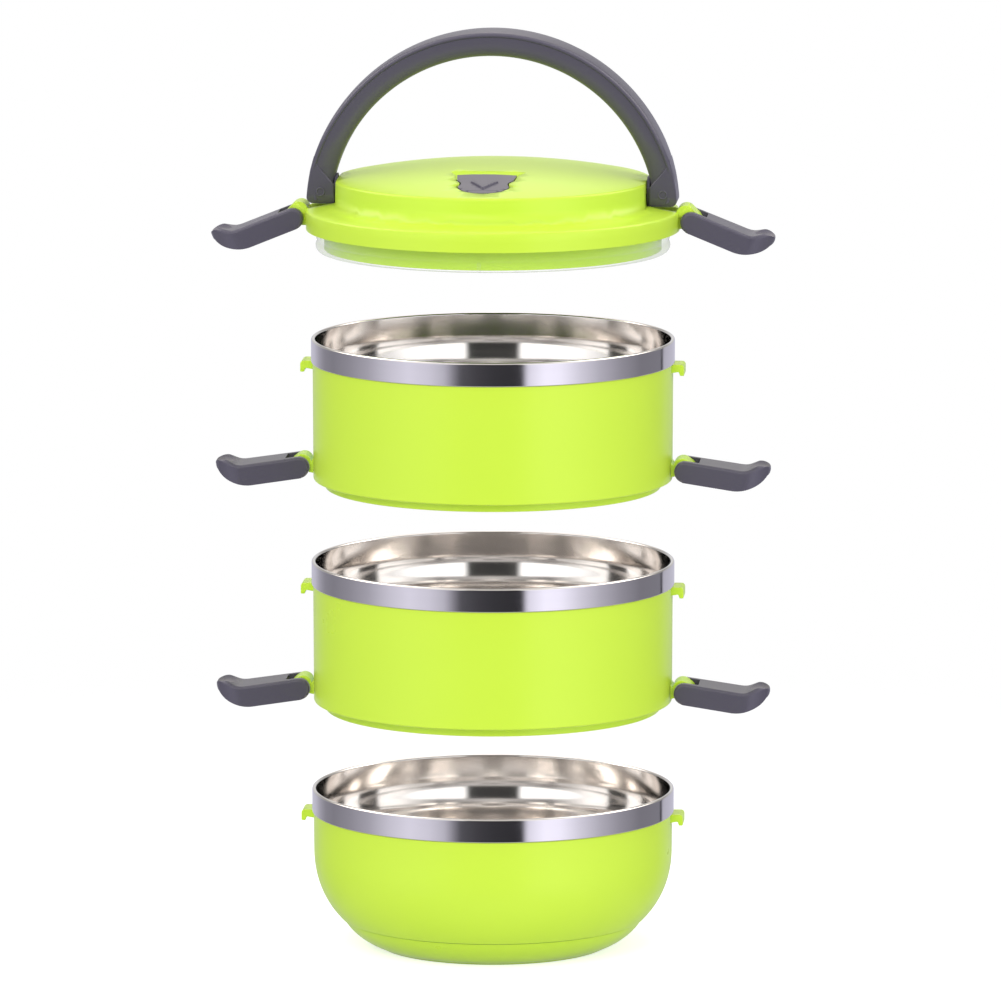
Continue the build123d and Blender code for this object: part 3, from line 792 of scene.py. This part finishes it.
@dataclass
class Lid(Assembly):
    """The lid: domed shell, plug with its seal, handle pins and the levers."""

    ring_r: float = 64.8
    plug_depth: float = 7.6
    seal_depth: float = 8.3

    def shell(self) -> bmesh.types.BMesh:
        """Copy the shell's carved shape from the frame."""
        return from_frame("lid_shell")

    def seal(self) -> bmesh.types.BMesh:
        """Turn the silicone seal: a bulged ring with a bead under it."""
        ring = self.ring_r + 0.05
        under = -self.plug_depth - 0.05
        section = [
            Vector((66.2, -0.4)), Vector((ring, -0.4)), Vector((ring, under)), Vector((63.2, under)),
            Vector((63.2, -self.seal_depth)),
            *curve(Vector((66.4, -self.seal_depth)), Vector((68.0, -8.2)), Vector((68.9, -5.6)),
                   Vector((67.3, -4.3)), 8),
            *curve(Vector((67.4, -4.1)), Vector((68.5, -3.4)), Vector((67.9, -0.6)),
                   Vector((66.4, -0.45)), 8)]
        return turned(section, LID_SEAT)

    def tab(self) -> bmesh.types.BMesh:
        """Make the small moulding tab left on the seal's front."""
        outline = rounded([(67.0, -7.9, 0.2), (67.0, -4.2, 0.2), (68.0, -5.0, 0.2), (68.2, -7.7, 0.3)])
        placing = Matrix.Rotation(-math.pi / 2, 4, "Z") @ upright(Vector((0, 0, LID_SEAT)))
        return prism(outline, placing, 0.6, ease=0.15)

    def build(self) -> None:
        """Make the lid's pieces, its levers and its pins."""
        outer = self.add("LidOuter", self.shell(), "lid", Slot.SHELL, "lid_shell")
        outer.visible_glossy = True
        self.add("LidInner", from_frame("lid_inner"), "lid", Slot.INNER, "lid_inner")
        self.add("LidSeal", joined([self.seal(), self.tab()]), "lid", Slot.SEAL, "lid_seal")
        self.add("VentFlapPin", from_frame("vent_flap_pin"), "lid", Slot.PIN, "vent_flap_pin")
        for hand in ("left", "right"):
            self.add(f"HandlePin{hand.title()}", from_frame(f"handle_pin_{hand}"), "lid", Slot.PIN,
                     f"handle_pin_{hand}")
        Levers("lid", "lid").build()


@dataclass
class Handle(Assembly):
    """The arched carrying handle: a domed bow with a bead round its outer edge, and two flat feet."""

    out_r: float = 72.5
    out_z: float = 4.2
    in_r: float = 62.5
    in_z: float = 4.6
    foot_in_x: float = 60.6
    foot_out_x: float = 71.4
    foot_bottom: float = 9.8
    pivot_h: float = 14.5
    boss_r: float = 6.4
    boss_x: float = 59.6
    grip_half: float = 10.0
    foot_half: float = 8.0
    taper_top: float = 36.0
    taper_foot: float = 21.0
    bow_steps: int = 120
    leg_steps: int = 8
    leg_lift: float = 1.4
    leg_inset: float = 0.9
    foot_top: float = 28.0
    foot_run: float = 18.0
    foot_slant: float = 0.8
    foot_set_in: float = 0.15
    mark_r: float = 1.5
    mark_wire: float = 0.36
    mark_x: float = 65.8

    def section(self) -> list[Vector]:
        """Draw the bow's section as (across, share of the way from the inner to the outer edge)."""
        half = [
            *curve(Vector((0.0, 1.0)), Vector((3.0, 1.0)), Vector((6.5, 0.99)), Vector((8.7, 0.965)), 6),
            *curve(Vector((9.2, 0.945)), Vector((10.0, 0.91)), Vector((10.0, 0.86)),
                   Vector((9.85, 0.82)), 5),
            Vector((9.55, 0.8)), Vector((9.35, 0.79)), Vector((9.2, 0.775)),
            *curve(Vector((9.2, 0.76)), Vector((9.3, 0.45)), Vector((8.4, 0.04)), Vector((4.2, 0.005)), 14),
            Vector((0.0, 0.0))]
        return half + [Vector((-p.x, p.y)) for p in reversed(half[1:-1])]

    def outer_at(self, level: float) -> float:
        """Give how far out the outer edge stands at a level."""
        return math.sqrt(self.out_r**2 - (level - self.out_z)**2)

    def place(self, across: float, share: float, turn: float) -> Vector:
        """Put a point of the section on the bow.

        Args:
            across: distance from the bow's middle plane.
            share: 0 on the inner edge, 1 on the outer one.
            turn: angle round the bow from the right-hand spring line, in radians.

        Returns:
            The point, in millimetres above the lid's seat.
        """
        inner = Vector((math.cos(turn), math.sin(turn))) * self.in_r + Vector((0, self.in_z))
        outer = Vector((math.cos(turn), math.sin(turn))) * self.out_r + Vector((0, self.out_z))
        point = inner.lerp(outer, share)
        return Vector((point.x, across, point.y))

    def bow(self) -> bmesh.types.BMesh:
        """Sweep the section round the bow and down into the legs."""
        spring = math.asin((math.sqrt(self.in_r**2 - self.foot_in_x**2)) / self.in_r)
        section = self.section()
        bm = bmesh.new()
        loop = [bm.verts.new(self.place(p.x, p.y, spring)) for p in section]
        edges = [bm.edges.new(pair) for pair in zip(loop, loop[1:] + loop[:1])]
        swept = bmesh.ops.spin(bm, geom=loop + edges, cent=(0, 0, (self.in_z + self.out_z) / 2),
                               axis=(0, -1, 0), dvec=(0, 0, 0), angle=math.pi - 2 * spring,
                               steps=self.bow_steps, use_merge=False, use_duplicate=False)
        last = [item for item in swept["geom_last"] if isinstance(item, bmesh.types.BMEdge)]
        for ring in (edges, last):
            self.leg(bm, ring)
        bmesh.ops.recalc_face_normals(bm, faces=bm.faces)
        for vert in bm.verts:
            share = (vert.co.z - self.taper_foot) / (self.taper_top - self.taper_foot)
            smooth = min(max(share, 0.0), 1.0)
            smooth = smooth * smooth * (3.0 - 2.0 * smooth)
            narrow = self.foot_half / self.grip_half
            vert.co.y *= narrow + (1.0 - narrow) * smooth
        to_object = Matrix.Scale(MM, 4) @ Matrix.Translation((0, 0, LID_SEAT))
        bmesh.ops.transform(bm, matrix=to_object, verts=bm.verts)
        return bm

    def leg(self, bm: bmesh.types.BMesh, ring: list[bmesh.types.BMEdge]) -> None:
        """Carry an end of the bow down to just above the foot's underside.

        Args:
            bm: the bow's mesh.
            ring: the edges of the open end.
        """
        bottom = self.foot_bottom + self.leg_lift
        for step in range(self.leg_steps):
            grown = bmesh.ops.extrude_edge_only(bm, edges=ring)["geom"]
            ring = [item for item in grown if isinstance(item, bmesh.types.BMEdge)
                    and all(vert in grown for vert in item.verts)]
            for vert in {vert for edge in ring for vert in edge.verts}:
                side = math.copysign(1.0, vert.co.x)
                drop = (vert.co.z - bottom) / (self.leg_steps - step)
                reach = self.outer_at(vert.co.z)
                share = (abs(vert.co.x) - self.foot_in_x) / (reach - self.foot_in_x)
                level = vert.co.z - drop
                reach = self.outer_at(level) - self.leg_inset * (step + 1) / self.leg_steps
                share = min(max(share, 0.0), 1.0)
                across = self.foot_in_x + share * (reach - self.foot_in_x)
                vert.co = Vector((side * across, vert.co.y, level))
        bmesh.ops.contextual_create(bm, geom=ring)

    def foot(self, side: int) -> bmesh.types.BMesh:
        """Make one flat foot, which stands a little proud of the bow below a slanting edge.

        Args:
            side: 1 on the right, -1 on the left.

        Returns:
            The foot's mesh.
        """
        rise = []
        for level in (14.0, 17.0, 20.0, 23.0, 26.0, self.foot_top):
            slant = self.foot_slant * (self.foot_top - level) / self.foot_run
            rise.append(Vector((self.outer_at(level) - self.foot_set_in - slant, level)))
        outline = rounded([
            (self.foot_in_x, 17.2, 0.5), (self.foot_in_x, self.foot_bottom, 0.5),
            (self.foot_out_x, self.foot_bottom, 2.4), *((p.x, p.y, 0) for p in rise), (66.4, 24.0, 0.8)])
        bm = prism(outline, upright(Vector((0, 0, LID_SEAT)), side), self.foot_half, ease=0.45)
        pivot = (LID_SEAT + self.pivot_h) * MM
        reach = (self.foot_half - 0.02) * MM
        for level in (0.9, 1.8, 2.7, 3.6, 4.3):
            bmesh.ops.bisect_plane(bm, geom=[*bm.verts, *bm.edges, *bm.faces], dist=WELD,
                                   plane_co=(0, 0, pivot - level * MM), plane_no=(0, 0, 1))
        for vert in bm.verts:
            under = pivot - vert.co.z
            if under > 0.0:
                limit = math.sqrt(max(reach**2 - under**2, 0.0))
                vert.co.y = max(min(vert.co.y, limit), -limit)
        return bm

    def boss(self, side: int) -> bmesh.types.BMesh:
        """Make the round boss between a foot and the cap's flat."""
        rim = [Vector((math.cos(math.tau * step / 48), math.sin(math.tau * step / 48))) * self.boss_r
               for step in range(48)]
        middle = (self.foot_in_x + self.boss_x) / 2
        placing = (Matrix.Translation((side * middle, 0, LID_SEAT + self.pivot_h))
                   @ Matrix.Rotation(math.pi / 2, 4, "Y"))
        return prism(rim, placing, self.foot_in_x + 0.05 - middle, ease=0.15)

    def mark(self, side: int) -> bmesh.types.BMesh:
        """Turn the small raised ring over a foot's pivot, front and back."""
        rings = []
        for face in (-1, 1):
            bm = bmesh.new()
            bmesh.ops.create_circle(bm, segments=10, radius=self.mark_wire)
            bmesh.ops.rotate(bm, verts=bm.verts, matrix=Matrix.Rotation(math.pi / 2, 3, "X"))
            bmesh.ops.translate(bm, verts=bm.verts, vec=(self.mark_r, 0, 0))
            bmesh.ops.spin(bm, geom=[*bm.verts, *bm.edges], cent=(0, 0, 0), axis=(0, 0, 1), dvec=(0, 0, 0),
                           angle=math.tau, steps=36, use_merge=True, use_duplicate=False)
            bmesh.ops.recalc_face_normals(bm, faces=bm.faces)
            bmesh.ops.rotate(bm, verts=bm.verts, matrix=Matrix.Rotation(math.pi / 2, 3, "X"))
            centre = Vector((side * self.mark_x, face * (self.foot_half - 0.05), LID_SEAT + self.pivot_h))
            bmesh.ops.transform(bm, matrix=Matrix.Scale(MM, 4) @ Matrix.Translation(centre), verts=bm.verts)
            rings.append(bm)
        return joined(rings)

    def build(self) -> None:
        """Make the handle as one piece."""
        parts = [self.bow()]
        for side in (1, -1):
            parts += [self.foot(side), self.boss(side), self.mark(side)]
        self.add("Handle", joined(parts), "handle", Slot.GRIP, "handle")


@dataclass
class Vent(Assembly):
    """The steam vent's flap and the silicone plug under it."""

    def build(self) -> None:
        """Make the flap and the plug."""
        self.add("VentFlap", from_frame("vent_flap"), "vent", Slot.GRIP, "vent_flap")
        self.add("VentPlug", from_frame("vent_plug"), "vent", Slot.SEAL, "vent_plug")


# ---------------------------------------------------------------- studio


@dataclass
class Studio:
    """Pale floor, soft light and the camera."""

    azimuth: float = 4.5
    elevation: float = 9.0
    distance: float = 4200.0
    frame_width: float = 386.0
    aim_across: float = 2.9
    aim_up: float = 173.5
    fade_start: float = 0.12
    fade_end: float = 0.6

    def camera(self) -> None:
        """Set up a long-lens camera a few metres in front of the stack, slightly above it."""
        turn, rise = math.radians(self.azimuth), math.radians(self.elevation)
        back = Vector((math.sin(turn) * math.cos(rise), -math.cos(turn) * math.cos(rise), math.sin(rise)))
        aim = Vector((math.cos(turn), math.sin(turn), 0)) * self.aim_across + Vector((0, 0, self.aim_up))
        data = bpy.data.cameras.new("Camera")
        data.sensor_width = 36.0
        data.lens = data.sensor_width * self.distance / self.frame_width
        data.clip_start, data.clip_end = 0.05, 60.0
        camera = bpy.data.objects.new("Camera", data)
        camera.location = (aim + back * self.distance) * MM
        camera.rotation_euler = (-back).to_track_quat("-Z", "Y").to_euler()
        bpy.context.scene.collection.objects.link(camera)
        bpy.context.scene.camera = camera

    def floor(self) -> None:
        """Lay a pale floor that melts into the white room and stays out of polished surfaces."""
        bm = bmesh.new()
        bmesh.ops.create_grid(bm, x_segments=4, y_segments=4, size=1.5)
        mesh = bpy.data.meshes.new("Floor")
        bm.to_mesh(mesh)
        bm.free()
        floor = bpy.data.objects.new("Floor", mesh)
        bpy.context.scene.collection.objects.link(floor)
        material, tree, shader, place = new_material("FloorPaper")
        drift = use_effect(tree, "drift", {"Vector": place, "Scale": 2.0, "Body": (0.85, 0.85, 0.85, 1.0),
                                           "Streak": (0.87, 0.87, 0.87, 1.0)})
        tree.link(drift.outputs["Color"], shader.inputs["Base Color"])
        shader.inputs["Roughness"].default_value = 0.9
        shader.inputs["Specular IOR Level"].default_value = 0.1
        shader.inputs["Emission Color"].default_value = (1.0, 1.0, 1.0, 1.0)
        seen = tree.add("ShaderNodeLightPath").outputs["Is Camera Ray"]
        tree.link(tree.maths("MULTIPLY", seen, 0.6), shader.inputs["Emission Strength"])
        away = tree.add("ShaderNodeVectorMath", {0: place}, operation="LENGTH").outputs["Value"]
        fade = tree.add("ShaderNodeMapRange", {"Value": away, "From Min": self.fade_start,
                                               "From Max": self.fade_end, "To Min": 0.9, "To Max": 0.0},
                        interpolation_type="SMOOTHSTEP")
        tree.link(fade.outputs["Result"], shader.inputs["Alpha"])
        mesh.materials.append(material)
        floor.visible_glossy = False

    def light(self, name: str, place: Corner, aim: Corner, size: float, watts: float,
              colour: Colour) -> None:
        """Hang a soft light.

        Args:
            name: the light's name.
            place: where it hangs, in metres.
            aim: the point it faces, in metres.
            size: the side of its square face, in metres.
            watts: its power.
            colour: its colour.
        """
        data = bpy.data.lights.new(name, "AREA")
        data.shape = "SQUARE"
        data.size = size
        data.energy = watts
        data.color = colour
        light = bpy.data.objects.new(name, data)
        light.location = place
        light.rotation_euler = (Vector(aim) - Vector(place)).to_track_quat("-Z", "Y").to_euler()
        light.visible_glossy = False
        bpy.context.scene.collection.objects.link(light)

    def surroundings(self) -> None:
        """Set the room: white to the eye, soft fill on matt surfaces, cards and gaps in polished ones."""
        world = bpy.data.worlds.new("Studio")
        world.use_nodes = True
        tree = Tree(world.node_tree)
        tree.tree.nodes.clear()
        heading = tree.add("ShaderNodeTexCoord").outputs["Generated"]
        parts = tree.add("ShaderNodeSeparateXYZ", {0: heading}).outputs
        turn = tree.maths("ARCTAN2", parts["X"], tree.maths("MULTIPLY", parts["Y"], -1.0))
        aside = tree.maths("DIVIDE", tree.maths("SUBTRACT", turn, math.radians(self.azimuth)), math.tau)
        share = tree.maths("ADD", aside, 0.5)
        level = tree.ramp(share, [(at, tuple(tone * part for part in LAVENDER)) for at, tone in CARDS])
        rise = parts["Z"]
        tall = tree.ramp(share, [(at, (tone, tone, tone)) for at, tone in TALL_CARDS])
        level = tree.blend(tree.window(rise, 0.0, 0.06), level, tall)
        above = tree.ramp(tree.spread(rise, 0.0, 1.0), SOFT_BOX)
        slats = tree.ramp(share, [(at, (tone, tone, tone)) for at, tone in SLATS])
        above = tree.add("ShaderNodeMix", {6: above, 7: slats, "Factor": 1.0}, data_type="RGBA",
                         blend_type="MULTIPLY").outputs[2]
        seen = tree.blend(tree.window(rise, 0.22, 0.34), level, above)
        seen = tree.blend(tree.window(rise, -0.36, -0.5), seen, FLOOR_SEEN)
        path = tree.add("ShaderNodeLightPath").outputs
        colour = tree.blend(path["Is Glossy Ray"], SOFT_FILL, seen)
        colour = tree.blend(path["Is Camera Ray"], colour, WHITE)
        background = tree.add("ShaderNodeBackground", {"Color": colour})
        tree.add("ShaderNodeOutputWorld", {"Surface": background.outputs[0]})
        bpy.context.scene.world = world

    def build(self) -> None:
        """Set up the whole studio."""
        self.camera()
        self.floor()
        self.surroundings()
        self.light("Key", (-0.5, -1.75, 1.35), (0, 0, 0.17), 1.1, 16.0, (1.0, 0.99, 0.97))
        self.light("Fill", (1.4, -1.1, 0.6), (0, 0, 0.17), 1.2, 6.5, (0.97, 0.98, 1.0))
        self.light("Top", (0.0, 0.2, 2.0), (0, 0, 0.2), 1.4, 9.0, (1.0, 1.0, 1.0))
        view = bpy.context.scene.view_settings
        view.view_transform = "Standard"
        view.look = "None"


def main() -> None:
    """Build the studio, then every sub-assembly from the bowl up."""
    logging.basicConfig(level=logging.INFO, format="%(name)s %(message)s")
    Studio().build()
    lower = Tier(prefix="lower", seat=LOWER_SEAT)
    upper = Tier(prefix="upper", seat=UPPER_SEAT)
    for assembly in (Bowl(), lower, upper, Lid(), Handle(), Vent()):
        assembly.build()
        LOG.info("%s done", type(assembly).__name__)


if __name__ == "__main__":
    main()
